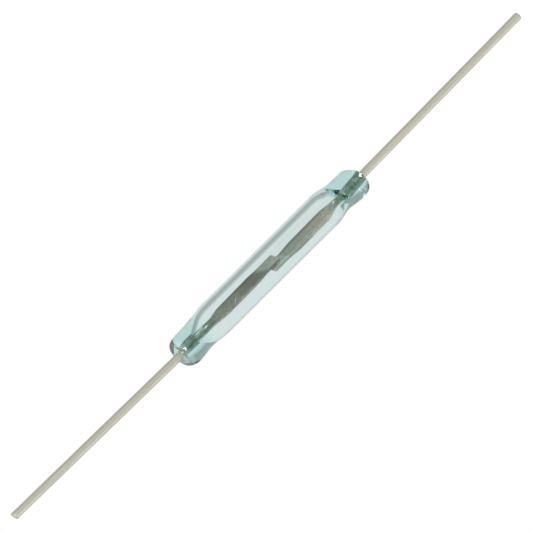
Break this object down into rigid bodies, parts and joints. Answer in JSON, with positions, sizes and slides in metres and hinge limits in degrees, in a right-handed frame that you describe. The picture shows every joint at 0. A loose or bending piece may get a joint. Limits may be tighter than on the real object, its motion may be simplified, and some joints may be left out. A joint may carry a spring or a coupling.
{
  "type": "reed switch",
  "caption": "Reed switch: two flat overlapping blades sealed in a clear glass tube, with a straight wire lead out of each end.",
  "frame": {"origin": "centre of the glass tube, on its axis, which is also the centre of the bounding box", "axes": "+X along the tube towards the lower reed's lead, +Z across the contact gap from the lower blade to the upper blade, +Y across the blades' width"},
  "size_m": [0.0549, 0.0028, 0.0028],
  "materials": {
    "glass": "clear glass with a green-blue tint, melted smooth at both ends",
    "lead_wire": "tinned nickel-iron wire, satin",
    "blade_metal": "pressed nickel-iron, satin, with paler plated contact ends"
  },
  "bodies": {
    "capsule": {"glass_capsule": "glass", "upper_lead": "lead_wire", "lower_lead": "lead_wire"},
    "upper_reed": {"upper_blade": "blade_metal"},
    "lower_reed": {"lower_blade": "blade_metal"}
  },
  "joints": [
    {"name": "upper_flex", "type": "hinge", "parent": "capsule", "child": "upper_reed", "pos_m": [-0.00484, 0, -0.00003], "axis": [0, 1, 0], "range_deg": [0, 1.32], "stiffness_Nm_per_rad": 0.05},
    {"name": "lower_flex", "type": "hinge", "parent": "capsule", "child": "lower_reed", "pos_m": [0.00556, 0, -0.00029], "axis": [0, 1, 0], "range_deg": [0, 1.32], "stiffness_Nm_per_rad": 0.05}
  ]
}
